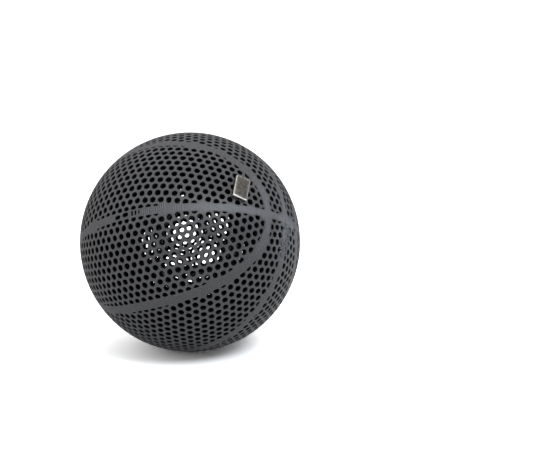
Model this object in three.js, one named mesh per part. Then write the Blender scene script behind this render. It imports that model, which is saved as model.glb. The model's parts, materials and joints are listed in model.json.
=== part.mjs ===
// An airless basketball printed in one piece: a thin open lattice of hexagonal holes with solid
// seam bands, and a nickel-plated block magnet that clings to the outside of it.
// Millimetres, +Z up, origin at the centre of the ball. The ball rests on its lowest strut junction.

import * as THREE from "three";
import { mergeVertices } from "three/addons/utils/BufferGeometryUtils.js";

// ---- Driving dimensions -------------------------------------------------------------------------

const BALL_RADIUS = 120; // a full-size basketball
const WALL_THICKNESS = 8.5; // radial depth of the struts and the bands

// The lattice is the dual of a geodesic sphere: one hole about each of its vertices. The printed
// ball has some 2300 holes, and this one has fewer and larger holes with the same open share.
const GEODESIC_STEPS = 6; // steps along each edge of the icosahedron
const HOLE_SHARE = 0.66; // hole width as a share of the spacing of the holes

const BAND_WIDTH = 9; // solid strip along each seam
const SMALLEST_HOLE = 4; // a hole that a band leaves narrower than this is closed

// The seams are two great circles that cross at right angles, and two loops. A loop is the set of
// directions at this angle from its axis, where turn is counted about the axis:
// mean + swing * cos(2 * turn) + squareness * cos(4 * turn) - lean * sin(turn), in degrees.
const LOOP_MEAN = 59.5;
const LOOP_SWING = 15.35;
const LOOP_SQUARENESS = 1.2;
const LOOP_LEAN = 0.55;

// How the ball lies at rest: where the axis of the first loop points, and the turn about it.
const LOOP_AXIS_AZIMUTH = -123.09; // from +X towards +Y
const LOOP_AXIS_ELEVATION = 22.74;
const LOOP_AXIS_TURN = 18.0; // from the horizontal, by the right-hand rule about the axis

const MAGNET_LENGTH = 25;
const MAGNET_WIDTH = 15;
const MAGNET_THICKNESS = 5;
const MAGNET_CHAMFER = 0.5;
const MAGNET_AZIMUTH = -54.2; // place on the ball, from +X towards +Y
const MAGNET_ELEVATION = 36.1;
const MAGNET_TURN = -29.4; // of the short side away from the horizontal, about the outward normal
const SEAT_GAP = 0.3; // between the ball and the magnet

const GRAPHITE = { color: 0x5b5c60, roughness: 0.72, metalness: 0.05 };
const NICKEL = { color: 0x9a948d, roughness: 0.28, metalness: 1.0 };

// ---- Directions and frames ----------------------------------------------------------------------

const UP = new THREE.Vector3(0, 0, 1);
const DOWN = new THREE.Vector3(0, 0, -1);

function direction(azimuth, elevation) {
  const a = THREE.MathUtils.degToRad(azimuth);
  const e = THREE.MathUtils.degToRad(elevation);
  return new THREE.Vector3(Math.cos(e) * Math.cos(a), Math.cos(e) * Math.sin(a), Math.sin(e));
}

// A frame about an axis: the horizontal direction square to it, turned about it, and the next one.
function turnedFrame(axis, turn) {
  const horizontal = new THREE.Vector3().crossVectors(UP, axis).normalize();
  const first = horizontal.applyAxisAngle(axis, THREE.MathUtils.degToRad(turn));
  const second = new THREE.Vector3().crossVectors(axis, first);
  return { first, second, axis };
}

// ---- Seams --------------------------------------------------------------------------------------

// Each seam is a function from a unit vector to the signed angle between it and the seam.
function greatCircleSeam(pole) {
  return (point) => Math.asin(THREE.MathUtils.clamp(point.dot(pole), -1, 1));
}

function loopSeam(axis, first, second) {
  return (point) => {
    const turn = Math.atan2(point.dot(second), point.dot(first));
    const angle = point.angleTo(axis);
    const degrees =
      LOOP_MEAN +
      LOOP_SWING * Math.cos(2 * turn) +
      LOOP_SQUARENESS * Math.cos(4 * turn) -
      LOOP_LEAN * Math.sin(turn);
    const degreesPerTurn =
      -2 * LOOP_SWING * Math.sin(2 * turn) -
      4 * LOOP_SQUARENESS * Math.sin(4 * turn) -
      LOOP_LEAN * Math.cos(turn);
    const slope = THREE.MathUtils.degToRad(degreesPerTurn) / Math.max(Math.sin(angle), 0.01);
    return (angle - THREE.MathUtils.degToRad(degrees)) / Math.hypot(1, slope);
  };
}

function ballSeams() {
  const { first, second, axis } = turnedFrame(
    direction(LOOP_AXIS_AZIMUTH, LOOP_AXIS_ELEVATION),
    LOOP_AXIS_TURN,
  );
  return [
    greatCircleSeam(second),
    greatCircleSeam(axis),
    loopSeam(axis, first, second),
    loopSeam(axis.clone().negate(), first, second),
  ];
}

// The direction in which a seam's angle grows fastest at a point, square to the point.
function slopeOf(seam, point) {
  const step = 1e-4;
  const slope = new THREE.Vector3();
  for (const key of ["x", "y", "z"]) {
    const ahead = point.clone();
    ahead[key] += step;
    slope[key] = seam(ahead.normalize()) - seam(point);
  }
  return slope.addScaledVector(point, -slope.dot(point)).normalize();
}

// Moves a corner of a hole out of every band, to the band's edge on the side of the hole's middle.
// Where bands meet, leaving one band can lead into the next, so it goes round more than once.
function moveOffBands(corner, middle, seams) {
  const halfWidth = BAND_WIDTH / 2 / BALL_RADIUS;
  for (let round = 0; round < 3; round++) {
    for (const seam of seams) {
      const side = Math.sign(seam(middle));
      const short = halfWidth - side * seam(corner);
      if (short > 0) corner.addScaledVector(slopeOf(seam, corner), side * short).normalize();
    }
  }
  return corner;
}

// ---- The lattice --------------------------------------------------------------------------------

// The geodesic sphere: unit vectors, one for each cell of the lattice, and triangles of them, one
// for each junction of three struts.
function geodesicSphere() {
  const geometry = new THREE.IcosahedronGeometry(1, GEODESIC_STEPS - 1);
  geometry.deleteAttribute("normal");
  geometry.deleteAttribute("uv");
  const merged = mergeVertices(geometry, 1e-4);
  const place = merged.getAttribute("position");
  const cells = Array.from({ length: place.count }, (_, i) =>
    new THREE.Vector3().fromBufferAttribute(place, i).normalize(),
  );
  const index = Array.from(merged.index.array);
  const junctions = Array.from({ length: index.length / 3 }, (_, i) =>
    index.slice(3 * i, 3 * i + 3),
  );
  return { cells, junctions };
}

// One corner of a hole for each corner of each junction, in the order of the junctions.
function holeCorners(cells, junctions) {
  return junctions.flatMap((corners) => {
    const middle = new THREE.Vector3();
    corners.forEach((cell) => middle.add(cells[cell]));
    middle.normalize();
    return corners.map((cell) => cells[cell].clone().lerp(middle, HOLE_SHARE).normalize());
  });
}

// Turns the lattice until the flat junction that is nearest the floor faces straight down.
function levelOnLowestJunction(cells, corners) {
  let lowest = UP;
  for (let i = 0; i < corners.length; i += 3) {
    const normal = new THREE.Vector3().crossVectors(
      corners[i + 1].clone().sub(corners[i]),
      corners[i + 2].clone().sub(corners[i]),
    );
    normal.normalize();
    if (normal.z < lowest.z) lowest = normal;
  }
  const turn = new THREE.Quaternion().setFromUnitVectors(lowest, DOWN);
  [...cells, ...corners].forEach((point) => point.applyQuaternion(turn));
}

// For each cell, the corners of its hole in order round it, and for each strut, its four corners.
function rimsAndStruts(junctions) {
  const sideOf = new Map();
  junctions.forEach((cells, junction) => {
    cells.forEach((from, k) => {
      const after = (k + 1) % 3;
      sideOf.set(`${from} ${cells[after]}`, { from: 3 * junction + k, to: 3 * junction + after });
    });
  });

  const nextCorner = new Map();
  const firstCorner = new Map();
  const struts = [];
  for (const [name, near] of sideOf) {
    const [from, to] = name.split(" ").map(Number);
    const far = sideOf.get(`${to} ${from}`);
    nextCorner.set(near.from, far.to);
    firstCorner.set(from, near.from);
    if (from < to) struts.push([near.to, near.from, far.to, far.from]);
  }

  const rims = [];
  for (const [cell, first] of firstCorner) {
    const rim = [first];
    while (nextCorner.get(rim.at(-1)) !== first) rim.push(nextCorner.get(rim.at(-1)));
    rims[cell] = rim;
  }
  return { rims, struts };
}

// How far across a hole is, along its narrowest diagonal.
function narrowestWidth(rim, corners) {
  const half = Math.floor(rim.length / 2);
  const widths = rim.map((corner, i) =>
    corners[corner].distanceTo(corners[rim[(i + half) % rim.length]]),
  );
  return Math.min(...widths) * BALL_RADIUS;
}

// The whole printed ball. The outer copy of each corner comes first in the list of points.
function ballGeometry() {
  const { cells, junctions } = geodesicSphere();
  const corners = holeCorners(cells, junctions);
  levelOnLowestJunction(cells, corners);
  const { rims, struts } = rimsAndStruts(junctions);

  const seams = ballSeams();
  rims.forEach((rim, cell) => {
    rim.forEach((corner) => moveOffBands(corners[corner], cells[cell], seams));
  });

  const inner = corners.length;
  const triangles = [];
  const bothFaces = (a, b, c) => {
    triangles.push(a, b, c);
    triangles.push(inner + a, inner + c, inner + b);
  };
  for (let corner = 0; corner < corners.length; corner += 3) {
    bothFaces(corner, corner + 1, corner + 2);
  }
  for (const [a, b, c, d] of struts) {
    bothFaces(a, b, c);
    bothFaces(a, c, d);
  }
  for (const rim of rims) {
    if (narrowestWidth(rim, corners) < SMALLEST_HOLE) {
      for (let i = 2; i < rim.length; i++) bothFaces(rim[0], rim[i], rim[i - 1]);
      continue;
    }
    rim.forEach((corner, i) => {
      const next = rim[(i + 1) % rim.length];
      triangles.push(corner, inner + corner, next);
      triangles.push(next, inner + corner, inner + next);
    });
  }

  const radii = [BALL_RADIUS, BALL_RADIUS - WALL_THICKNESS];
  const positions = radii.flatMap((radius) =>
    corners.flatMap((corner) => corner.clone().multiplyScalar(radius).toArray()),
  );
  const geometry = new THREE.BufferGeometry();
  geometry.setAttribute("position", new THREE.Float32BufferAttribute(positions, 3));
  geometry.setIndex(triangles);
  geometry.computeVertexNormals();
  return geometry;
}

function ballMesh() {
  const mesh = new THREE.Mesh(ballGeometry(), new THREE.MeshStandardMaterial(GRAPHITE));
  mesh.name = "lattice_ball";
  return mesh;
}

// ---- The magnet ---------------------------------------------------------------------------------

// A block with chamfered edges, its seat on the plane z = 0 and its long side along y.
function magnetGeometry() {
  const halfWidth = MAGNET_WIDTH / 2 - MAGNET_CHAMFER;
  const halfLength = MAGNET_LENGTH / 2 - MAGNET_CHAMFER;
  const outline = new THREE.Shape([
    new THREE.Vector2(-halfWidth, -halfLength),
    new THREE.Vector2(halfWidth, -halfLength),
    new THREE.Vector2(halfWidth, halfLength),
    new THREE.Vector2(-halfWidth, halfLength),
  ]);
  const geometry = new THREE.ExtrudeGeometry(outline, {
    depth: MAGNET_THICKNESS - 2 * MAGNET_CHAMFER,
    bevelEnabled: true,
    bevelThickness: MAGNET_CHAMFER,
    bevelSize: MAGNET_CHAMFER,
    bevelSegments: 1,
  });
  return geometry.translate(0, 0, MAGNET_CHAMFER);
}

function magnetMesh() {
  const outward = direction(MAGNET_AZIMUTH, MAGNET_ELEVATION);
  const { first, second } = turnedFrame(outward, MAGNET_TURN);
  const mesh = new THREE.Mesh(magnetGeometry(), new THREE.MeshStandardMaterial(NICKEL));
  mesh.name = "block_magnet";
  mesh.quaternion.setFromRotationMatrix(new THREE.Matrix4().makeBasis(first, second, outward));
  mesh.position.copy(outward).multiplyScalar(BALL_RADIUS + SEAT_GAP);
  return mesh;
}

// ---- Assembly -----------------------------------------------------------------------------------

const assembly = new THREE.Group();
assembly.add(ballMesh(), magnetMesh());

export default assembly;
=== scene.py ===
"""An airless basketball printed in one piece in graphite filament, with a nickel-plated block magnet.

The ball's wall is an open lattice of hexagonal holes. Eight panels, parted by solid seam bands, each
have their own hexagonal grid, laid out in longitude and latitude about the middle of the panel.
Everything is worked out in the seam frame, whose x axis is the axis of the seam loops, whose y axis
is the axis that the print was built up along, and whose origin is the middle of the ball. Angles are
radians unless a name says degrees, and lengths are metres.
"""

import json
import math

import bmesh
import bpy
import numpy as np
from mathutils import Matrix, Vector
from mathutils.geometry import delaunay_2d_cdt


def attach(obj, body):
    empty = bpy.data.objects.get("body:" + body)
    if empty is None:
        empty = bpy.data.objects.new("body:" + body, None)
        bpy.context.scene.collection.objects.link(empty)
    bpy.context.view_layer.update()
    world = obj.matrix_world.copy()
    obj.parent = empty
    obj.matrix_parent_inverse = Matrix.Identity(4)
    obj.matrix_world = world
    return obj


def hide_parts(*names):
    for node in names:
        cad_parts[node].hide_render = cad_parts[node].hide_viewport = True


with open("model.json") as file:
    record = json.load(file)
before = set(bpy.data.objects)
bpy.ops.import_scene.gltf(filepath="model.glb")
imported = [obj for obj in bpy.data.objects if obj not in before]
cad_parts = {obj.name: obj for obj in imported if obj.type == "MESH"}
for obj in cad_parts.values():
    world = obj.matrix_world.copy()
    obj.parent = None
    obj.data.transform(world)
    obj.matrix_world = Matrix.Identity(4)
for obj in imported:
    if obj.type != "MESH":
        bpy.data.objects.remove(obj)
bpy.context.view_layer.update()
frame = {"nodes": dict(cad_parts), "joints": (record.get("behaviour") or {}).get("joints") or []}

MM = 0.001

# ---- Driving dimensions --------------------------------------------------------------------------

BALL_RADIUS = round(max(v.co.length for v in frame["nodes"]["lattice_ball"].data.vertices), 5)
WALL_THICKNESS = 8.5 * MM
EDGE_ROUNDING = 0.45 * MM  # of the rims of the holes, on the outside

HOLE_SPACING = 8.81 * MM / BALL_RADIUS  # angle from hole to hole along a row
HOLE_SHARE = 0.66  # width of a hole across its flats, as a share of the spacing
ROW_SPACING = HOLE_SPACING * math.sqrt(3) / 2
CORNER_CUT = 0.24  # share of a side of a hole that the rounding of a corner takes at each end
SMALLEST_SHARE = 0.16  # a hole with less than this share of a whole one is filled in
SMALLEST_WIDTH = 0.9 * MM / BALL_RADIUS
SHORTEST_SIDE = 0.4 * MM / BALL_RADIUS  # a shorter side of a cut-off hole is closed up
PANEL_LENGTH = math.radians(90)  # from the middle of a panel to either end, along its rows
PANEL_REACH = math.radians(35)  # at least from the middle of a panel to either side, across its rows

# The seams: two great circles that cross at right angles on the build axis, and two loops. A loop is
# the set of directions at this angle from its axis, where turn is counted about the axis:
# mean + swing * cos(2 * turn) + squareness * cos(4 * turn) - lean * sin(turn), in degrees.
LOOP_MEAN = 59.5
LOOP_SWING = 15.35
LOOP_SQUARENESS = 1.2
LOOP_LEAN = 0.55
CIRCLE_BAND = 8.7 * MM / BALL_RADIUS  # width of the solid band along each great circle
LOOP_BAND = 10.0 * MM / BALL_RADIUS
SEAM_STEP = math.radians(2.0)  # between points along the middle of a seam

# How the ball lies: where the loop axis points, and the turn about it. These are the CAD model's.
LOOP_AXIS_AZIMUTH = -123.09
LOOP_AXIS_ELEVATION = 22.74
LOOP_AXIS_TURN = 18.0

# Middle of a panel above the great circle that the loop axis lies in, inside and outside a loop.
INNER_PANEL_TILT = math.radians(22.5)
OUTER_PANEL_TILT = math.radians(67.5)

# Where the first row of holes of a panel lies, in rows above the middle of the panel.
# The first number is the end of the loop axis and the second the side of the great circle.
INNER_ROW_SHIFTS = {(1, 1): -0.43, (1, -1): -0.45, (-1, 1): 0.70, (-1, -1): -0.10}
OUTER_ROW_SHIFTS = {(1, 1): -0.54, (1, -1): -0.27, (-1, 1): -0.55, (-1, -1): -0.65}

BUILD_AXIS = np.array([0.0, 1.0, 0.0])

RAGGEDNESS = 0.30 * MM / BALL_RADIUS  # how far the corners of the holes stray from true
RAGGED_SEED = 5

# Gaps that the printer left in the first loop's great circle: longitude of the middle in degrees,
# then its height above the circle, the length and the height of the gap in millimetres. The line
# where the two panels meet is lifted over them, so that they all lie in the lower panel.
GAPS = (
    (-3.3, -0.3, 7.0, 4.4),
    (1.3, 0.5, 7.4, 4.6),
    (5.2, 0.4, 2.3, 5.2),
    (7.1, 0.5, 2.1, 5.0),
    (9.0, 0.8, 1.3, 4.2),
)
GAP_SHAPE = np.array([(-0.5, -0.1), (-0.3, -0.5), (0.35, -0.45), (0.5, 0.05), (0.3, 0.5), (-0.4, 0.42)])
GAPS_PANEL = (1, -1, True)  # side, half and inner of the panel that the gaps are put in
GAPS_LIFT = 3.6 * MM / BALL_RADIUS
GAPS_SPAN = (math.radians(-7), math.radians(11))

# Stubs of broken support along the second great circle, below the end of the build axis.
STUB_COUNT = 44
STUB_FIELD = (14 * MM, 40 * MM)  # width across the band, and length down it
STUB_FIELD_START = 0.06  # of that length, from the end of the build axis
STUB_REACH = (1.5 * MM, 4.5 * MM)  # least and most, from the middle of a stub to its tip
STUB_HALF_WIDTH = (0.5 * MM, 1.1 * MM)
STUB_RISE = (0.8 * MM, 1.9 * MM)
STUB_BEND = 0.6  # most that a stub bows sideways, as a share of its reach
STUB_SWELL = (0.75, 1.15)  # how much the girth of a stub wanders
STUB_SIDES = 6
STUB_RINGS = 7
STUB_SEED = 11


# ---- Frames --------------------------------------------------------------------------------------


def seam_frame():
    """The seam frame's three axes as the rows of a matrix, in the part's frame."""
    azimuth = math.radians(LOOP_AXIS_AZIMUTH)
    elevation = math.radians(LOOP_AXIS_ELEVATION)
    axis = Vector((
        math.cos(elevation) * math.cos(azimuth),
        math.cos(elevation) * math.sin(azimuth),
        math.sin(elevation),
    ))
    level = Vector((0, 0, 1)).cross(axis).normalized()
    build = Matrix.Rotation(math.radians(LOOP_AXIS_TURN), 3, axis) @ level
    return np.array([axis, build, axis.cross(build)])


def normalized(vectors):
    return vectors / np.linalg.norm(vectors, axis=-1, keepdims=True)


class Panel:
    """One of the ball's eight panels, with its flat map of longitude and latitude.

    side is the end of the loop axis that the panel is on, half is the side of the great circle
    through that axis, and inner says whether the panel is inside the loop.
    """

    def __init__(self, side, half, inner):
        tilt = INNER_PANEL_TILT if inner else OUTER_PANEL_TILT
        self.side, self.half, self.inner = side, half, inner
        self.middle = np.array([side * math.cos(tilt), 0, half * math.sin(tilt)])
        self.across = np.array([-side * math.sin(tilt), 0, half * math.cos(tilt)])
        self.row_shift = (INNER_ROW_SHIFTS if inner else OUTER_ROW_SHIFTS)[side, half]

    def to_map(self, directions):
        longitude = np.arctan2(directions @ BUILD_AXIS, directions @ self.middle)
        latitude = np.arcsin(np.clip(directions @ self.across, -1, 1))
        return np.stack([longitude, latitude], axis=-1)

    def to_ball(self, places):
        longitude, latitude = places[..., :1], places[..., 1:]
        level = np.cos(longitude) * self.middle + np.sin(longitude) * BUILD_AXIS
        return np.cos(latitude) * level + np.sin(latitude) * self.across

    def clearances(self):
        """Functions of directions that are positive where the panel is clear of a seam band."""
        clear = [lambda v: self.half * np.arcsin(v[..., 2]) - CIRCLE_BAND / 2]
        if self.inner:
            clear.append(lambda v: -outside_loop(v, self.side) - LOOP_BAND / 2)
        else:
            clear.append(lambda v: outside_loop(v, self.side) - LOOP_BAND / 2)
            clear.append(lambda v: self.side * np.arcsin(v[..., 0]) - CIRCLE_BAND / 2)
        return clear


# ---- Seams ---------------------------------------------------------------------------------------


def loop_angle(turn):
    degrees = LOOP_MEAN + LOOP_SWING * np.cos(2 * turn) + LOOP_SQUARENESS * np.cos(4 * turn)
    return np.radians(degrees - LOOP_LEAN * np.sin(turn))


def loop_slope(turn):
    """How fast loop_angle changes with the turn."""
    degrees = -2 * LOOP_SWING * np.sin(2 * turn) - 4 * LOOP_SQUARENESS * np.sin(4 * turn)
    return np.radians(degrees - LOOP_LEAN * np.cos(turn))


def outside_loop(directions, side):
    """Signed angle from a loop's middle line to each direction, positive away from its axis."""
    turn = np.arctan2(directions[..., 2], directions[..., 1])
    angle = np.arccos(np.clip(side * directions[..., 0], -1, 1))
    slope = loop_slope(turn) / np.maximum(np.sin(angle), 0.01)  # the least value spares the axis itself
    return (angle - loop_angle(turn)) / np.hypot(1, slope)


def loop_points(side, turns):
    angles = loop_angle(turns)
    return np.stack(
        [side * np.cos(angles), np.sin(angles) * np.cos(turns), np.sin(angles) * np.sin(turns)],
        axis=-1,
    )


def circle_points(start, towards, angles):
    """Points of a great circle, at these angles from one unit vector towards another."""
    return np.cos(angles)[:, None] * np.array(start) + np.sin(angles)[:, None] * np.array(towards)


def between(start, end):
    """Evenly spaced angles strictly between two, about SEAM_STEP apart."""
    steps = max(2, round(abs(end - start) / SEAM_STEP))
    return np.linspace(start, end, steps + 1)[1:-1]


# ---- Holes ---------------------------------------------------------------------------------------


def clipped(outline, panel, clearance):
    """The part of a convex outline, on a panel's map, where a clearance is positive."""
    values = clearance(panel.to_ball(outline))
    if (values >= 0).all():
        return outline
    kept = []
    for i, value in enumerate(values):
        before = values[i - 1]
        if (before >= 0) != (value >= 0):
            kept.append(outline[i - 1] + (outline[i] - outline[i - 1]) * before / (before - value))
        if value >= 0:
            kept.append(outline[i])
    return np.array(kept).reshape(-1, 2)


def without_short_sides(outline, shortest):
    """The outline with each side shorter than this closed up."""
    kept = []
    for i in range(len(outline)):
        if np.linalg.norm(outline[i] - outline[i - 1]) >= shortest:
            kept.append(outline[i])
    return np.array(kept).reshape(-1, 2)


def area_and_width(outline):
    """Area of a convex outline, and its least width square to any of its sides."""
    after = np.roll(outline, -1, axis=0)
    area = abs(np.sum(outline[:, 0] * after[:, 1] - after[:, 0] * outline[:, 1])) / 2
    sides = normalized(after - outline)
    normals = np.stack([-sides[:, 1], sides[:, 0]], axis=-1)
    heights = np.einsum("ik,jk->ij", normals, outline) - np.sum(normals * outline, axis=1)[:, None]
    return area, (heights.max(axis=1) - heights.min(axis=1)).min()


def inside(outline, points):
    """Whether each point lies inside an outline, which needn't be convex."""
    before = np.roll(outline, 1, axis=0)
    x, y = points[:, :1], points[:, 1:]
    spans = (outline[:, 1] > y) != (before[:, 1] > y)
    rise = np.where(before[:, 1] == outline[:, 1], 1.0, before[:, 1] - outline[:, 1])
    crossing = outline[:, 0] + (y - outline[:, 1]) * (before[:, 0] - outline[:, 0]) / rise
    return np.sum(spans & (x < crossing), axis=1) % 2 == 1


def cut_corners(outline):
    """Two points for each corner, in place of the corner."""
    before = np.roll(outline, 1, axis=0)
    after = np.roll(outline, -1, axis=0)
    ends = [outline + (before - outline) * CORNER_CUT, outline + (after - outline) * CORNER_CUT]
    return np.stack(ends, axis=1).reshape(-1, 2)


def grown(outline, margin):
    """The outline moved outwards by a margin, square to its sides."""
    before = normalized(outline - np.roll(outline, 1, axis=0))
    after = normalized(np.roll(outline, -1, axis=0) - outline)
    out_before = np.stack([before[:, 1], -before[:, 0]], axis=-1)
    out_after = np.stack([after[:, 1], -after[:, 0]], axis=-1)
    bisector = out_before + out_after
    return outline + bisector * margin / (1 + np.sum(out_before * out_after, axis=1))[:, None]


def gap_outlines(panel):
    """Outlines of the gaps in the great circle, on the panel's map."""
    outlines = []
    for longitude, height, length, tall in GAPS:
        along = math.radians(longitude) + GAP_SHAPE[:, 0] * length * MM / BALL_RADIUS
        up = (height + GAP_SHAPE[:, 1] * tall) * MM / BALL_RADIUS
        level = circle_points((panel.side, 0, 0), BUILD_AXIS, along)
        outline = panel.to_map(normalized(level + np.outer(np.tan(up), (0, 0, 1))))
        x, y = (outline - outline.mean(axis=0)).T
        if np.sum(x * np.roll(y, -1) - y * np.roll(x, -1)) < 0:
            outline = outline[::-1]
        outlines.append(outline)
    return outlines


def panel_holes(panel):
    """Outlines of a panel's holes on its map, each anticlockwise on the map."""
    chance = np.random.default_rng(RAGGED_SEED)
    corner_angles = np.radians(30 + 60 * np.arange(6))
    corner_radius = HOLE_SPACING * HOLE_SHARE / math.sqrt(3)
    hexagon = corner_radius * np.stack([np.cos(corner_angles), np.sin(corner_angles)], axis=-1)
    whole_area, _ = area_and_width(hexagon)
    rows = math.ceil(PANEL_REACH / ROW_SPACING)
    columns = math.ceil(PANEL_LENGTH / HOLE_SPACING)
    outlines = []
    for row in range(-rows, rows + 1):
        for column in range(-columns, columns + 1):
            centre = np.array([
                (column + 0.5 * (row % 2)) * HOLE_SPACING,
                (row + panel.row_shift) * ROW_SPACING,
            ])
            if abs(centre[0]) > PANEL_LENGTH:
                continue
            outline = hexagon + centre
            directions = panel.to_ball(outline)
            whole = all((clearance(directions) > 0).all() for clearance in panel.clearances())
            strays = chance.uniform(-RAGGEDNESS, RAGGEDNESS, hexagon.shape)
            if whole:
                outline = outline + strays
            for clearance in panel.clearances():
                if len(outline) > 2:
                    outline = clipped(outline, panel, clearance)
            if len(outline) > 2:
                outline = without_short_sides(outline, SHORTEST_SIDE)
            if len(outline) < 3:
                continue
            area, width = area_and_width(outline)
            if area >= SMALLEST_SHARE * whole_area and width >= SMALLEST_WIDTH:
                outlines.append(outline)
    if (panel.side, panel.half, panel.inner) == GAPS_PANEL:
        outlines += gap_outlines(panel)
    return outlines


# ---- The ball's mesh -----------------------------------------------------------------------------


class Shell:
    """The vertices and triangles of the ball's wall, gathered part by part in the seam frame."""

    def __init__(self):
        self.points = []
        self.solid = []
        self.count = 0
        self.triangles = []
        self.normals = []

    def add_points(self, directions, radius, solid=0.0):
        """The numbers of the new points, which lie in these directions at this radius.

        solid is 1 in the middle of a seam band and 0 at the rim of a hole.
        """
        self.points.append(directions * radius)
        self.solid.append(np.full(len(directions), solid))
        self.count += len(directions)
        return np.arange(self.count - len(directions), self.count)

    def add_triangles(self, corners, normals):
        """Triangles as rows of three point numbers, with a normal for each corner of each."""
        self.triangles.append(corners)
        self.normals.append(normals)


class SeamLines:
    """Points along the middle of every seam, shared by the panels on both sides."""

    def __init__(self, shell, radius):
        self.shell, self.radius = shell, radius
        self.directions = {}
        crossing = float(loop_angle(0.0))
        self.lines = {}
        poles = {end: self.line(BUILD_AXIS[None] * end) for end in (-1, 1)}
        crossings = {
            (side, end): self.line(np.array([[side * math.cos(crossing), end * math.sin(crossing), 0]]))
            for side in (-1, 1)
            for end in (-1, 1)
        }
        for side in (-1, 1):
            axis = (side, 0, 0)
            angles = between(-crossing, crossing)
            middle = circle_points(axis, BUILD_AXIS, angles)
            if side == GAPS_PANEL[0]:
                lifted = (angles > GAPS_SPAN[0]) & (angles < GAPS_SPAN[1])
                middle = normalized(middle + np.outer(lifted * math.tan(GAPS_LIFT), (0, 0, 1)))
            self.lines["across", side] = [crossings[side, -1], self.line(middle), crossings[side, 1]]
            for end in (-1, 1):
                outer = circle_points(axis, end * BUILD_AXIS, between(crossing, math.pi / 2))
                self.lines["out", side, end] = [crossings[side, end], self.line(outer), poles[end]]
            for half in (-1, 1):
                turns = half * between(math.pi, 0.0)
                loop = self.line(loop_points(side, turns))
                self.lines["loop", side, half] = [crossings[side, -1], loop, crossings[side, 1]]
        for half in (-1, 1):
            circle = circle_points((0, 0, half), BUILD_AXIS, between(-math.pi / 2, math.pi / 2))
            self.lines["round", half] = [poles[-1], self.line(circle), poles[1]]

    def line(self, directions):
        numbers = self.shell.add_points(directions, self.radius, 1.0)
        self.directions.update(zip(numbers.tolist(), directions))
        return numbers

    def border(self, panel):
        """Point numbers round a panel, in order, and their directions."""
        side, half = panel.side, panel.half
        loop = np.concatenate(self.lines["loop", side, half])
        if panel.inner:
            parts = [np.concatenate(self.lines["across", side]), loop[::-1]]
        else:
            parts = [
                loop,
                np.concatenate(self.lines["out", side, 1]),
                np.concatenate(self.lines["round", half])[::-1],
                np.concatenate(self.lines["out", side, -1])[::-1],
            ]
        numbers = np.concatenate([part[:-1] for part in parts])
        return numbers, np.array([self.directions[n] for n in numbers.tolist()])


def panel_triangles(panel, border, outlines):
    """Triangles that fill a panel between its border and its holes, as places in one list.

    The list is the border followed by each outline in turn. Triangles are anticlockwise on the map.
    """
    rings = [border, *outlines]
    owners = np.concatenate([np.full(len(ring), i) for i, ring in enumerate(rings)])
    places = np.concatenate(rings)
    edges = []
    start = 0
    for ring in rings:
        edges += [(start + i, start + (i + 1) % len(ring)) for i in range(len(ring))]
        start += len(ring)
    vertices = [Vector(place) for place in places.tolist()]
    made, _, faces, originals, _, _ = delaunay_2d_cdt(vertices, edges, [], 1, 1e-7, True)
    if len(made) != len(places) or any(len(found) != 1 for found in originals):
        raise RuntimeError("two outlines of a panel touch")
    number = np.array([found[0] for found in originals])
    triangles = number[np.array(faces)]
    hole = owners[triangles]
    one_ring = (hole[:, 0] == hole[:, 1]) & (hole[:, 0] == hole[:, 2])
    in_hole = one_ring & (hole[:, 0] > 0)
    on_border = one_ring & (hole[:, 0] == 0)
    outside = on_border.copy()
    outside[on_border] = ~inside(border, places[triangles[on_border]].mean(axis=1))
    triangles = triangles[~in_hole & ~outside]
    a, b, c = (places[triangles[:, i]] for i in range(3))
    turned = (b - a)[:, 0] * (c - a)[:, 1] - (b - a)[:, 1] * (c - a)[:, 0] < 0
    triangles[turned] = triangles[turned][:, ::-1]
    return triangles


def add_surface(shell, panel, border_numbers, border_directions, outlines, radius, facing):
    """The panel's outer or inner skin. The numbers of the points of each hole's rim come back."""
    rims = [shell.add_points(panel.to_ball(outline), radius) for outline in outlines]
    triangles = panel_triangles(panel, panel.to_map(border_directions), outlines)
    numbers = np.concatenate([border_numbers, *rims])
    directions = np.concatenate([border_directions, *[panel.to_ball(o) for o in outlines]])
    shell.add_triangles(numbers[triangles], facing * directions[triangles])
    return rims


def rim_normals(panel, outline):
    """Unit vectors at a rim's points, square to the wall of the hole and pointing into the hole."""
    directions = panel.to_ball(outline)
    middle = normalized(directions.mean(axis=0))
    sides = normalized(np.roll(directions, -1, axis=0) - directions)
    inward = np.cross(directions, sides)
    inward *= np.sign(np.sum(inward * (middle - directions), axis=1))[:, None]
    return normalized(inward + np.roll(inward, 1, axis=0))


def add_hole_wall(shell, panel, outline, smooth_outline, outer_rim, inner_rim):
    """The rounded edge of one hole and its wall, down to the inner rim's sharper corners.

    The outer and the middle rim have two points for each corner of the inner rim.
    """
    out = panel.to_ball(smooth_outline)
    middle_rim = shell.add_points(out, BALL_RADIUS - EDGE_ROUNDING)
    into = rim_normals(panel, smooth_outline)
    into_inner = rim_normals(panel, outline)

    here = np.arange(len(outer_rim))
    after = np.roll(here, -1)
    first, second = here[0::2], here[1::2]  # the two points of each corner
    next_first = np.roll(first, -1)
    corner = np.arange(len(inner_rim))
    next_corner = np.roll(corner, -1)
    outer = [(outer_rim[i], out[i]) for i in (here, after)]
    middle = [(middle_rim[i], into[i]) for i in (here, after)]
    start, end, next_start = ((middle_rim[i], into[i]) for i in (first, second, next_first))
    inner = [(inner_rim[i], into_inner[i]) for i in (corner, next_corner)]
    strips = [
        (outer[0], middle[0], outer[1]),
        (outer[1], middle[0], middle[1]),
        (start, inner[0], end),
        (end, inner[0], next_start),
        (next_start, inner[0], inner[1]),
    ]
    for strip in strips:
        numbers, normals = zip(*strip)
        shell.add_triangles(np.stack(numbers, axis=1), np.stack(normals, axis=1))


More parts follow.
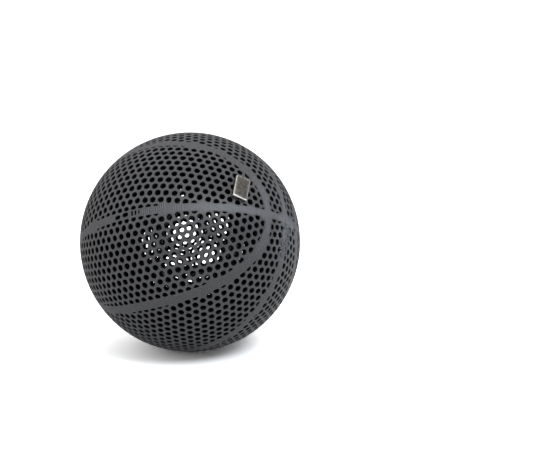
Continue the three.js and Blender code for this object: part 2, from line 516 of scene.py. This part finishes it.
def add_stub(shell, chance):
    """A low ridge, bent and tapered to both ends, half sunk into the band."""
    width, length = STUB_FIELD
    aside = chance.uniform(-0.5, 0.5) * width
    down = chance.uniform(STUB_FIELD_START, 1) * length
    out = Vector((aside, BALL_RADIUS, -down)).normalized()
    heading = Matrix.Rotation(chance.uniform(0, math.pi), 3, out) @ out.orthogonal().normalized()
    across = out.cross(heading)
    reach = chance.uniform(*STUB_REACH)
    half_width = chance.uniform(*STUB_HALF_WIDTH)
    rise = chance.uniform(*STUB_RISE)
    bend = chance.uniform(-STUB_BEND, STUB_BEND)
    points, normals = [], []
    for ring in range(STUB_RINGS):
        t = -1 + 2 * (ring + 0.5) / STUB_RINGS
        swell = math.sqrt(1 - t * t) * chance.uniform(*STUB_SWELL)
        centre = out * BALL_RADIUS + heading * t * reach + across * bend * t * t * reach
        centre = centre.normalized() * BALL_RADIUS
        for side in range(STUB_SIDES):
            angle = 2 * math.pi * side / STUB_SIDES
            offset = across * math.cos(angle) * half_width + out * math.sin(angle) * rise
            points.append(centre + offset * swell)
            normals.append((across * math.cos(angle) + out * math.sin(angle)).normalized())
    for end in (-1, 1):
        tip = out * BALL_RADIUS + heading * end * reach + across * bend * reach
        points.append(tip.normalized() * BALL_RADIUS)
        normals.append(heading * end)
    points, normals = np.array(points), np.array(normals)
    radii = np.linalg.norm(points, axis=1, keepdims=True)
    numbers = shell.add_points(points / radii, radii, 0.5)
    tips = STUB_RINGS * STUB_SIDES
    end_ring = tips - STUB_SIDES
    triangles = []
    for side in range(STUB_SIDES):
        after = (side + 1) % STUB_SIDES
        for ring in range(STUB_RINGS - 1):
            a, b = ring * STUB_SIDES + side, ring * STUB_SIDES + after
            triangles += [(a, b, b + STUB_SIDES), (a, b + STUB_SIDES, a + STUB_SIDES)]
        triangles += [(tips, after, side), (tips + 1, end_ring + side, end_ring + after)]
    triangles = np.array(triangles)
    shell.add_triangles(numbers[triangles], normals[triangles])


def ball_shell():
    """Every panel's two skins and the walls of its holes, and the stubs."""
    shell = Shell()
    outer_seams = SeamLines(shell, BALL_RADIUS)
    inner_seams = SeamLines(shell, BALL_RADIUS - WALL_THICKNESS)
    for side in (-1, 1):
        for half in (-1, 1):
            for inner in (False, True):
                panel = Panel(side, half, inner)
                outlines = panel_holes(panel)
                smooth = [cut_corners(outline) for outline in outlines]
                rims = [grown(outline, EDGE_ROUNDING / BALL_RADIUS) for outline in smooth]
                outer_rims = add_surface(shell, panel, *outer_seams.border(panel), rims, BALL_RADIUS, 1)
                inner_rims = add_surface(
                    shell, panel, *inner_seams.border(panel), outlines,
                    BALL_RADIUS - WALL_THICKNESS, -1,
                )
                for hole in zip(outlines, smooth, outer_rims, inner_rims):
                    add_hole_wall(shell, panel, *hole)
    chance = np.random.default_rng(STUB_SEED)
    for _ in range(STUB_COUNT):
        add_stub(shell, chance)
    return shell


def facing_out(points, triangles, normals):
    """The triangles, and the normals of their corners, in the order that faces along the normals."""
    a, b, c = (points[triangles[:, i]] for i in range(3))
    turned = np.sum(np.cross(b - a, c - a) * normals.sum(axis=1), axis=1) < 0
    triangles[turned] = triangles[turned][:, ::-1]
    normals[turned] = normals[turned][:, ::-1]
    return triangles, normals


def mesh_from_shell(name, shell):
    axes = seam_frame()
    points = np.concatenate(shell.points) @ axes
    triangles, normals = facing_out(
        points, np.concatenate(shell.triangles), np.concatenate(shell.normals) @ axes,
    )
    normals = normals.reshape(-1, 3)
    mesh = bpy.data.meshes.new(name)
    mesh.vertices.add(len(points))
    mesh.vertices.foreach_set("co", points.ravel())
    mesh.loops.add(triangles.size)
    mesh.loops.foreach_set("vertex_index", triangles.ravel())
    mesh.polygons.add(len(triangles))
    mesh.polygons.foreach_set("loop_start", np.arange(0, triangles.size, 3))
    mesh.polygons.foreach_set("use_smooth", np.ones(len(triangles), bool))
    mesh.update(calc_edges=True)
    mesh.normals_split_custom_set(normals)
    solid = mesh.attributes.new("solid", "FLOAT", "POINT")
    solid.data.foreach_set("value", np.concatenate(shell.solid).astype(np.float32))
    return mesh


def add_object(name, mesh, material):
    piece = bpy.data.objects.new(name, mesh)
    bpy.context.scene.collection.objects.link(piece)
    mesh.materials.append(material)
    return piece


# ---- Node helpers --------------------------------------------------------------------------------


class Nodes:
    """A short way to write a material's nodes."""

    def __init__(self, name):
        self.material = bpy.data.materials.new(name)
        self.material.use_nodes = True
        self.tree = self.material.node_tree
        self.shader = self.tree.nodes["Principled BSDF"]

    def put(self, value, socket):
        """Links a value that is a socket, or sets one that is a number or a colour."""
        if isinstance(value, bpy.types.NodeSocket):
            self.tree.links.new(value, socket)
        else:
            socket.default_value = value

    def add(self, kind, output=0, settings=None, **inputs):
        """One output of a new node. Inputs go by name, with _ for a space, or by number as _0 and so on."""
        node = self.tree.nodes.new(kind)
        for name, value in (settings or {}).items():
            setattr(node, name, value)
        for name, value in inputs.items():
            key = int(name[1:]) if name.startswith("_") else name.replace("_", " ")
            self.put(value, node.inputs[key])
        return node.outputs[output]

    def math(self, operation, a, b=0.0, c=0.0):
        return self.add("ShaderNodeMath", settings={"operation": operation}, _0=a, _1=b, _2=c)

    def vector(self, operation, a, b=(0, 0, 0)):
        """Vector maths whose result is a vector."""
        return self.add("ShaderNodeVectorMath", "Vector", {"operation": operation}, _0=a, _1=b)

    def measure(self, operation, a, b=(0, 0, 0)):
        """Vector maths whose result is a number."""
        return self.add("ShaderNodeVectorMath", "Value", {"operation": operation}, _0=a, _1=b)

    def varied(self, shade, pattern, amount):
        """The shade, moved up and down by a pattern that runs from 0 to 1."""
        return self.math("MULTIPLY_ADD", self.math("SUBTRACT", pattern, 0.5), amount, shade)

    def noise(self, place, size, detail=3.0, roughness=0.55):
        """Noise from 0 to 1 whose patches are about this size."""
        return self.add(
            "ShaderNodeTexNoise", 0, None,
            Vector=place, Scale=1 / size, Detail=detail, Roughness=roughness,
        )

    def remap(self, value, low, high, to_low=0.0, to_high=1.0, smooth=True):
        kind = {"interpolation_type": "SMOOTHSTEP"} if smooth else {}
        return self.add(
            "ShaderNodeMapRange", 0, kind,
            Value=value, From_Min=low, From_Max=high, To_Min=to_low, To_Max=to_high,
        )

    def mix(self, share, a, b):
        """From colour a to colour b. The node's colour sockets are its output 2 and inputs 6 and 7."""
        return self.add("ShaderNodeMix", 2, {"data_type": "RGBA"}, _0=share, _6=a, _7=b)

    def scaled(self, colour, factor):
        """The colour with its brightness multiplied."""
        return self.add("ShaderNodeVectorMath", 0, {"operation": "SCALE"}, _0=colour, Scale=factor)

    def bump(self, height, distance, strength=1.0, below=None):
        inputs = {"Height": height, "Distance": distance, "Strength": strength}
        if below is not None:
            inputs["Normal"] = below
        return self.add("ShaderNodeBump", 0, None, **inputs)


# ---- Materials -----------------------------------------------------------------------------------

# The graphite print. Shades and gains multiply the brightness of its colours.
GRAPHITE_COLOUR = (0.0865, 0.0862, 0.0910)
SHEEN_COLOUR = (0.091, 0.0952, 0.1070)  # painted sheen: a bluish painted highlight on the layers round the build axis
SCAR_COLOUR = (0.126, 0.136, 0.148)
SOLID_RANGE = (0.1, 0.4)  # of the mesh's solid value, from a strut to a band
# Painted shade: the bands are darker than the struts, save where the painted sheen lightens them.
STRUT_SHADE = 0.90
BAND_SHADE = 0.80
INSIDE_SHADE = 0.10  # painted shade of the hole walls and the inner skin
INSIDE_DEPTHS = (0.02 * MM, 1.2 * MM)  # below the outside, from unshaded to fully shaded

STRUT_SHEEN = 0.05  # how much brighter the painted sheen makes the struts, and the bands
BAND_SHEEN = 0.62
SHEEN_REACH = (8 * MM, 62 * MM)  # from the plane of the circle through the build axis
SHEEN_START = 0.12 * BALL_RADIUS  # height along the build axis where the painted sheen begins to grow
LEAST_SHEEN = 0.1

LAYER_HEIGHT = 0.28 * MM
RIB_SPACING = 2.0 * MM
RIB_WANDER = (6 * MM, 9.0)  # size of the unevenness of the ribs, and how many radians it shifts them
RIB_PATCHES = 11 * MM
RIB_PATCH_RANGE = (0.1, 0.5)
STRUT_RIBS = 0.09  # how strong the ribs are on the struts, and how much more on the bands
BAND_RIBS = 0.10
RIBBED_ANGLE = 0.24  # from the loop axis towards the build axis, to the middle of the ribbed stretch
RIBBED_MIDDLE = (BALL_RADIUS * math.cos(RIBBED_ANGLE), BALL_RADIUS * math.sin(RIBBED_ANGLE), 0)
RIBBED_REACH = (12 * MM, 48 * MM)
RIBBED_GAIN = (5.0, 0.9)  # near its middle, and far from it

SCAR_MIDDLE = (-2 * MM, BALL_RADIUS, -20 * MM)
SCAR_REACH = (10.8 * MM, 19.2 * MM)
SCAR_RAGGEDNESS = 14 * MM
SCAR_SHARE = 0.8

COARSE_MOTTLE = 0.25
MOTTLE = 0.25
SPECKLE = 0.9
SCAR_SPECKLE = 1.6  # added in the scar
SCAR_LUMPS = 3.0

PRINT_ROUGHNESS = 0.42
PRINT_SPECULAR = 0.5
PRINT_ANISOTROPY = 0.9

# How bright the paper is to the camera, in mirror reflections and as a source of soft light.
PAPER_EXPOSURE = 2.3
PAPER_SHEEN = 1.0
PAPER_ALBEDO = 0.62

NICKEL_FACE = (0.138, 0.128, 0.117)
NICKEL_RIM = (0.30, 0.28, 0.26)  # painted highlight on the outer millimetres of the face
# painted highlight on the rounded edges
NICKEL_EDGE = (0.60, 0.57, 0.53)
NICKEL_FLOOR_REFLECTION = (1.0, 0.99, 0.97)  # painted reflection of the white floor on the lower edge
NICKEL_RIM_DEPTHS = (0.6 * MM, 3.2 * MM)  # from the edge of the face, where the painted rim highlight fades
NICKEL_RIM_RAGGEDNESS = 5 * MM
NICKEL_STREAK_STRETCH = 0.2
NICKEL_ROUGHNESS = (0.24, 0.40)


def painted_sheen_mask(n, axes, place, height):
    """From 0 to 1, where the sheen is painted: a painted highlight near the circle through the build axis,
    high up it.
    """
    aside = n.math("ABSOLUTE", n.measure("DOT_PRODUCT", place, tuple(axes[2])))
    return n.math(
        "MULTIPLY",
        n.remap(aside, *SHEEN_REACH, 1, 0),
        n.remap(height, SHEEN_START, BALL_RADIUS, LEAST_SHEEN, 1),
    )


def print_ribs(n, height, by_height, place):
    """Uneven ribs square to the build axis, around 0."""
    size, turns = RIB_WANDER
    wander = n.math("MULTIPLY", n.noise(by_height, size, detail=1.0), turns)
    ribs = n.math("SINE", n.math("MULTIPLY_ADD", height, 2 * math.pi / RIB_SPACING, wander))
    patches = n.remap(n.noise(place, RIB_PATCHES, detail=1.0), 0.35, 0.65, *RIB_PATCH_RANGE)
    return n.math("MULTIPLY", ribs, patches)


def graphite_print():
    """Matt printed filament: layers square to the build axis, ribs, faint mottling, a scar, painted sheen
    and painted shade.
    """
    n = Nodes("graphite_print")
    place = n.add("ShaderNodeTexCoord", "Object")
    axes = seam_frame()
    build_axis = tuple(axes[1])
    height = n.measure("DOT_PRODUCT", place, build_axis)
    by_height = n.add("ShaderNodeCombineXYZ", 0, None, X=height)
    solid = n.add("ShaderNodeAttribute", "Fac", {"attribute_name": "solid"})
    band = n.remap(solid, *SOLID_RANGE)

    layer = n.math("SINE", n.math("MULTIPLY", height, 2 * math.pi / LAYER_HEIGHT))
    ribs = print_ribs(n, height, by_height, place)
    coarse = n.noise(by_height, 8 * MM, detail=2.0)
    mottle = n.noise(place, 14 * MM, detail=4.0)
    grain = n.noise(place, 1.8 * MM, detail=3.0)
    from_scar = n.measure("DISTANCE", place, tuple(np.array(SCAR_MIDDLE) @ axes))
    ragged = n.math("MULTIPLY_ADD", mottle, -SCAR_RAGGEDNESS, from_scar)
    scar = n.remap(ragged, *SCAR_REACH, 1, 0)

    # Painted sheen: a highlight painted into the brightness and the colour, near the circle through the
    # build axis.
    sheen = painted_sheen_mask(n, axes, place, height)
    tone = n.add("ShaderNodeMapRange", 0, None, Value=band, To_Min=STRUT_SHADE, To_Max=BAND_SHADE)
    gain = n.add("ShaderNodeMapRange", 0, None, Value=band, To_Min=STRUT_SHEEN, To_Max=BAND_SHEEN)
    tone = n.math("MULTIPLY_ADD", sheen, gain, tone)
    from_ribbed = n.measure("DISTANCE", place, tuple(np.array(RIBBED_MIDDLE) @ axes))
    rib_strength = n.math("MULTIPLY_ADD", band, BAND_RIBS, STRUT_RIBS)
    rib_strength = n.math("MULTIPLY", rib_strength, n.remap(from_ribbed, *RIBBED_REACH, *RIBBED_GAIN))
    shade = n.math("MULTIPLY_ADD", ribs, rib_strength, tone)
    shade = n.varied(shade, coarse, COARSE_MOTTLE)
    shade = n.varied(shade, mottle, MOTTLE)
    shade = n.varied(shade, grain, n.math("MULTIPLY_ADD", scar, SCAR_SPECKLE, SPECKLE))
    # Painted shade: darker with depth below the outside, on the hole walls and the inner skin, with less
    # specular there too.
    radius = n.measure("LENGTH", place)
    unshaded, shaded = (BALL_RADIUS - depth for depth in INSIDE_DEPTHS)
    outside = n.remap(radius, shaded, unshaded, INSIDE_SHADE, 1.0)
    shade = n.math("MULTIPLY", shade, outside)

    painted_sheen_share = n.math("MULTIPLY", sheen, n.math("MULTIPLY_ADD", band, 0.7, 0.3))  # share of the painted sheen's bluish colour, less of it on the struts
    colour = n.mix(painted_sheen_share, GRAPHITE_COLOUR + (1,), SHEEN_COLOUR + (1,))
    colour = n.mix(n.math("MULTIPLY", scar, SCAR_SHARE), colour, SCAR_COLOUR + (1,))
    n.put(n.scaled(colour, shade), n.shader.inputs["Base Color"])
    n.put(n.varied(PRINT_ROUGHNESS, mottle, 0.2), n.shader.inputs["Roughness"])
    n.put(n.math("MULTIPLY", outside, PRINT_SPECULAR), n.shader.inputs["Specular IOR Level"])

    n.put(PRINT_ANISOTROPY, n.shader.inputs["Anisotropic"])
    axis = n.add("ShaderNodeCombineXYZ", 0, None, X=build_axis[0], Y=build_axis[1], Z=build_axis[2])
    to_world = {"vector_type": "VECTOR", "convert_from": "OBJECT", "convert_to": "WORLD"}
    n.put(n.add("ShaderNodeVectorTransform", 0, to_world, Vector=axis), n.shader.inputs["Tangent"])

    fine = n.bump(layer, 0.02 * MM, 0.6)
    stepped = n.bump(ribs, 0.25 * MM, 0.7, below=fine)
    lumps = n.math("MULTIPLY_ADD", scar, SCAR_LUMPS, 1.0)
    grained = n.bump(n.math("MULTIPLY", grain, lumps), 0.25 * MM, 0.8, below=stepped)
    n.put(grained, n.shader.inputs["Normal"])
    return n.material


def nickel_plate(axes, middle, size):
    """Dull nickel plating with mottling and faint streaks along it, a painted highlight round its face and
    on its edges, and a painted reflection of the floor on its lower edge.

    The axes are across the magnet, along it and out of its face, and size is its size along them.
    """
    n = Nodes("nickel_plate")
    place = n.add("ShaderNodeTexCoord", "Object")
    normal = n.add("ShaderNodeTexCoord", "Normal")
    wide, long, thick = (tuple(axis) for axis in axes)
    facing = [n.math("ABSOLUTE", n.measure("DOT_PRODUCT", normal, axis)) for axis in (wide, long, thick)]
    flat = n.math("MAXIMUM", n.math("MAXIMUM", facing[0], facing[1]), facing[2])
    edge = n.remap(flat, 0.93, 0.998, 1.0, 0.0)
    # The lower edge, where a painted reflection of the floor goes.
    low = n.remap(n.measure("DOT_PRODUCT", normal, long), -0.7, -0.2, 1.0, 0.0)

    streak_place = n.add(
        "ShaderNodeCombineXYZ", 0, None,
        X=n.measure("DOT_PRODUCT", place, wide),
        Y=n.math("MULTIPLY", n.measure("DOT_PRODUCT", place, long), NICKEL_STREAK_STRETCH),
    )
    streaks = n.noise(streak_place, 1.0 * MM, detail=3.0)
    mottle = n.noise(place, 2.6 * MM, detail=5.0, roughness=0.65)
    cloud = n.noise(place, 7 * MM, detail=2.0)
    shade = n.varied(1.0, mottle, 1.2)
    shade = n.varied(shade, cloud, 0.4)
    shade = n.varied(shade, streaks, 0.4)

    # Painted highlight: the face is lighter over its outer millimetres.
    from_middle = n.vector("SUBTRACT", place, tuple(middle))
    depths = []
    for axis, length in ((wide, size[0]), (long, size[1])):
        reach = n.math("ABSOLUTE", n.measure("DOT_PRODUCT", from_middle, axis))
        depths.append(n.math("SUBTRACT", length / 2, reach))
    depth = n.varied(n.math("MINIMUM", *depths), cloud, NICKEL_RIM_RAGGEDNESS)
    rim_highlight_share = n.remap(depth, *NICKEL_RIM_DEPTHS, 1, 0)
    face = n.mix(rim_highlight_share, NICKEL_FACE + (1,), NICKEL_RIM + (1,))
    # Painted highlights on the rounded edges, and a painted reflection of the floor on the lower edge.
    painted_edge_highlight = n.mix(low, NICKEL_EDGE + (1,), NICKEL_FLOOR_REFLECTION + (1,))
    n.put(n.scaled(n.mix(edge, face, painted_edge_highlight), shade), n.shader.inputs["Base Color"])
    n.put(1.0, n.shader.inputs["Metallic"])
    n.put(n.remap(mottle, 0.3, 0.7, *NICKEL_ROUGHNESS), n.shader.inputs["Roughness"])
    n.put(n.bump(mottle, 0.03 * MM, 0.5), n.shader.inputs["Normal"])
    return n.material


def sweep_white():
    """White paper. The camera sees it overexposed, which is how it is in a product shot."""
    n = Nodes("sweep_white")
    place = n.add("ShaderNodeTexCoord", "Object")
    tone = n.remap(n.noise(place, 0.5), 0.3, 0.7, 0.98, 1.0)
    seen = n.add("ShaderNodeLightPath", "Is Camera Ray")
    mirrored = n.add("ShaderNodeLightPath", "Is Glossy Ray")
    gain = n.math("MULTIPLY_ADD", seen, PAPER_EXPOSURE - PAPER_ALBEDO, PAPER_ALBEDO)
    gain = n.math("MULTIPLY_ADD", mirrored, PAPER_SHEEN - PAPER_ALBEDO, gain)
    colour = n.scaled((1.0, 1.0, 1.0), n.math("MULTIPLY", tone, gain))
    diffuse = n.add("ShaderNodeBsdfDiffuse", 0, None, Color=colour)
    n.put(diffuse, n.tree.nodes["Material Output"].inputs["Surface"])
    return n.material


# ---- The pieces ----------------------------------------------------------------------------------


def build_ball():
    """The whole print: one piece with every hole of its lattice."""
    mesh = mesh_from_shell("printed_ball", ball_shell())
    ball = add_object("printed_ball", mesh, graphite_print())
    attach(ball, "ball")
    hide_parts("lattice_ball")


MAGNET_EDGE_RADIUS = 1.2 * MM
MAGNET_EDGE_STEPS = 5


def build_magnet():
    """The block magnet, with rounded edges, centred on the CAD block and with its face in the same plane.

    Its axes are those of the spread of the block's corners, which are turned by 2.3 degrees about the
    joint's axis from the block's sides. So it comes out 1.0 mm wider and 0.6 mm longer than the block.
    """
    corners = np.array([v.co for v in frame["nodes"]["block_magnet"].data.vertices], float)
    middle = (corners.min(axis=0) + corners.max(axis=0)) / 2
    corners -= corners.mean(axis=0)
    _, axes = np.linalg.eigh(corners.T @ corners)  # close to the block's shortest to longest sides
    outward = np.array(frame["joints"][0]["axis"], float)
    thick, wide, long = axes.T
    thick = thick * np.sign(thick @ outward)
    long = long * np.sign(long[2])
    wide = np.cross(long, thick)
    turn = np.array([wide, long, thick])
    spans = corners @ turn.T
    size = spans.max(axis=0) - spans.min(axis=0)

    bm = bmesh.new()
    bmesh.ops.create_cube(bm, size=1)
    bmesh.ops.scale(bm, vec=Vector(size), verts=bm.verts)
    bmesh.ops.bevel(
        bm, geom=bm.edges[:], offset=MAGNET_EDGE_RADIUS, segments=MAGNET_EDGE_STEPS,
        profile=0.5, affect="EDGES", clamp_overlap=True,
    )
    for face in bm.faces:
        face.smooth = True
    place = Matrix.Translation(Vector(middle)) @ Matrix(turn.T.tolist()).to_4x4()
    bmesh.ops.transform(bm, matrix=place, verts=bm.verts)
    mesh = bpy.data.meshes.new("block_magnet_nickel")
    bm.to_mesh(mesh)
    bm.free()
    magnet = add_object("block_magnet_nickel", mesh, nickel_plate(turn, middle, size))
    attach(magnet, "magnet")
    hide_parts("block_magnet")


# ---- Stage, light and camera ---------------------------------------------------------------------

# The sweep runs from near the camera to where it bends up, and then up to its top.
SWEEP_NEAR = -4.0
SWEEP_BEND = 2.2
SWEEP_RADIUS = 0.8
SWEEP_TOP = 3.0
SWEEP_HALF_WIDTH = 5.0
SWEEP_STEPS = 12  # of its bend

# The surroundings light the ball evenly, save for a dim side.
AROUND_BRIGHT = 1.04
DIM_BRIGHT = 0.24
DIM_SIDE = (0.62, -0.78, 0.02)
DIM_START = 0.0  # cosine of the angle from the dim side where the dimming starts
DIM_FULL = 0.85  # and where it is complete

KEY_PLACE = (1.1, -1.42, 1.72)
KEY_SIZE = 1.0
KEY_POWER = 26
KEY_COLOUR = (0.92, 0.96, 1.0)

CAMERA_PLACE = (0.09238, -1.14971, 0.24250)
CAMERA_PITCH = math.radians(79)  # from straight down
CAMERA_LENS = 70.04
CAMERA_SENSOR = 36


def build_sweep():
    """A white floor that curves up into a backdrop well behind the ball."""
    floor = -BALL_RADIUS
    profile = [(SWEEP_NEAR, floor)]
    for angle in np.linspace(0, math.pi / 2, SWEEP_STEPS + 1):
        profile.append((
            SWEEP_BEND + SWEEP_RADIUS * math.sin(angle),
            floor + SWEEP_RADIUS * (1 - math.cos(angle)),
        ))
    profile.append((SWEEP_BEND + SWEEP_RADIUS, SWEEP_TOP))
    bm = bmesh.new()
    sides = (-SWEEP_HALF_WIDTH, SWEEP_HALF_WIDTH)
    rows = [[bm.verts.new((x, y, z)) for y, z in profile] for x in sides]
    for i in range(len(profile) - 1):
        face = bm.faces.new((rows[0][i], rows[1][i], rows[1][i + 1], rows[0][i + 1]))
        face.smooth = True
    mesh = bpy.data.meshes.new("sweep")
    bm.to_mesh(mesh)
    bm.free()
    add_object("sweep", mesh, sweep_white())


def build_surroundings():
    """White surroundings, whose dim side shows only in the light that they give."""
    world = bpy.data.worlds.new("studio")
    bpy.context.scene.world = world
    world.use_nodes = True
    tree = world.node_tree
    place = tree.nodes.new("ShaderNodeTexCoord")
    dim_side = tree.nodes.new("ShaderNodeVectorMath")
    dim_side.operation = "DOT_PRODUCT"
    dim_side.inputs[1].default_value = DIM_SIDE
    tree.links.new(place.outputs["Generated"], dim_side.inputs[0])
    strength = tree.nodes.new("ShaderNodeMapRange")
    strength.interpolation_type = "SMOOTHSTEP"
    strength.inputs["From Min"].default_value = DIM_START
    strength.inputs["From Max"].default_value = DIM_FULL
    strength.inputs["To Min"].default_value = AROUND_BRIGHT
    strength.inputs["To Max"].default_value = DIM_BRIGHT
    tree.links.new(dim_side.outputs["Value"], strength.inputs["Value"])
    seen = tree.nodes.new("ShaderNodeLightPath")
    white_when_seen = tree.nodes.new("ShaderNodeMath")
    white_when_seen.operation = "MAXIMUM"
    tree.links.new(strength.outputs["Result"], white_when_seen.inputs[0])
    tree.links.new(seen.outputs["Is Camera Ray"], white_when_seen.inputs[1])
    background = tree.nodes["Background"]
    background.inputs["Color"].default_value = (1, 1, 1, 1)
    tree.links.new(white_when_seen.outputs["Value"], background.inputs["Strength"])


def build_key():
    """A round soft lamp above and to the right of the camera, aimed at the ball."""
    data = bpy.data.lights.new("key", "AREA")
    data.shape = "DISK"
    data.size = KEY_SIZE
    data.energy = KEY_POWER
    data.color = KEY_COLOUR
    key = bpy.data.objects.new("key", data)
    key.location = KEY_PLACE
    key.rotation_euler = (-Vector(KEY_PLACE)).to_track_quat("-Z", "Y").to_euler()
    bpy.context.scene.collection.objects.link(key)


def build_camera():
    data = bpy.data.cameras.new("camera")
    data.sensor_width = CAMERA_SENSOR
    data.lens = CAMERA_LENS
    camera = bpy.data.objects.new("camera", data)
    camera.location = CAMERA_PLACE
    camera.rotation_euler = (CAMERA_PITCH, 0, 0)
    bpy.context.scene.collection.objects.link(camera)
    bpy.context.scene.camera = camera


build_ball()
build_magnet()
build_sweep()
build_surroundings()
build_key()
build_camera()
bpy.context.scene.view_settings.view_transform = "Standard"
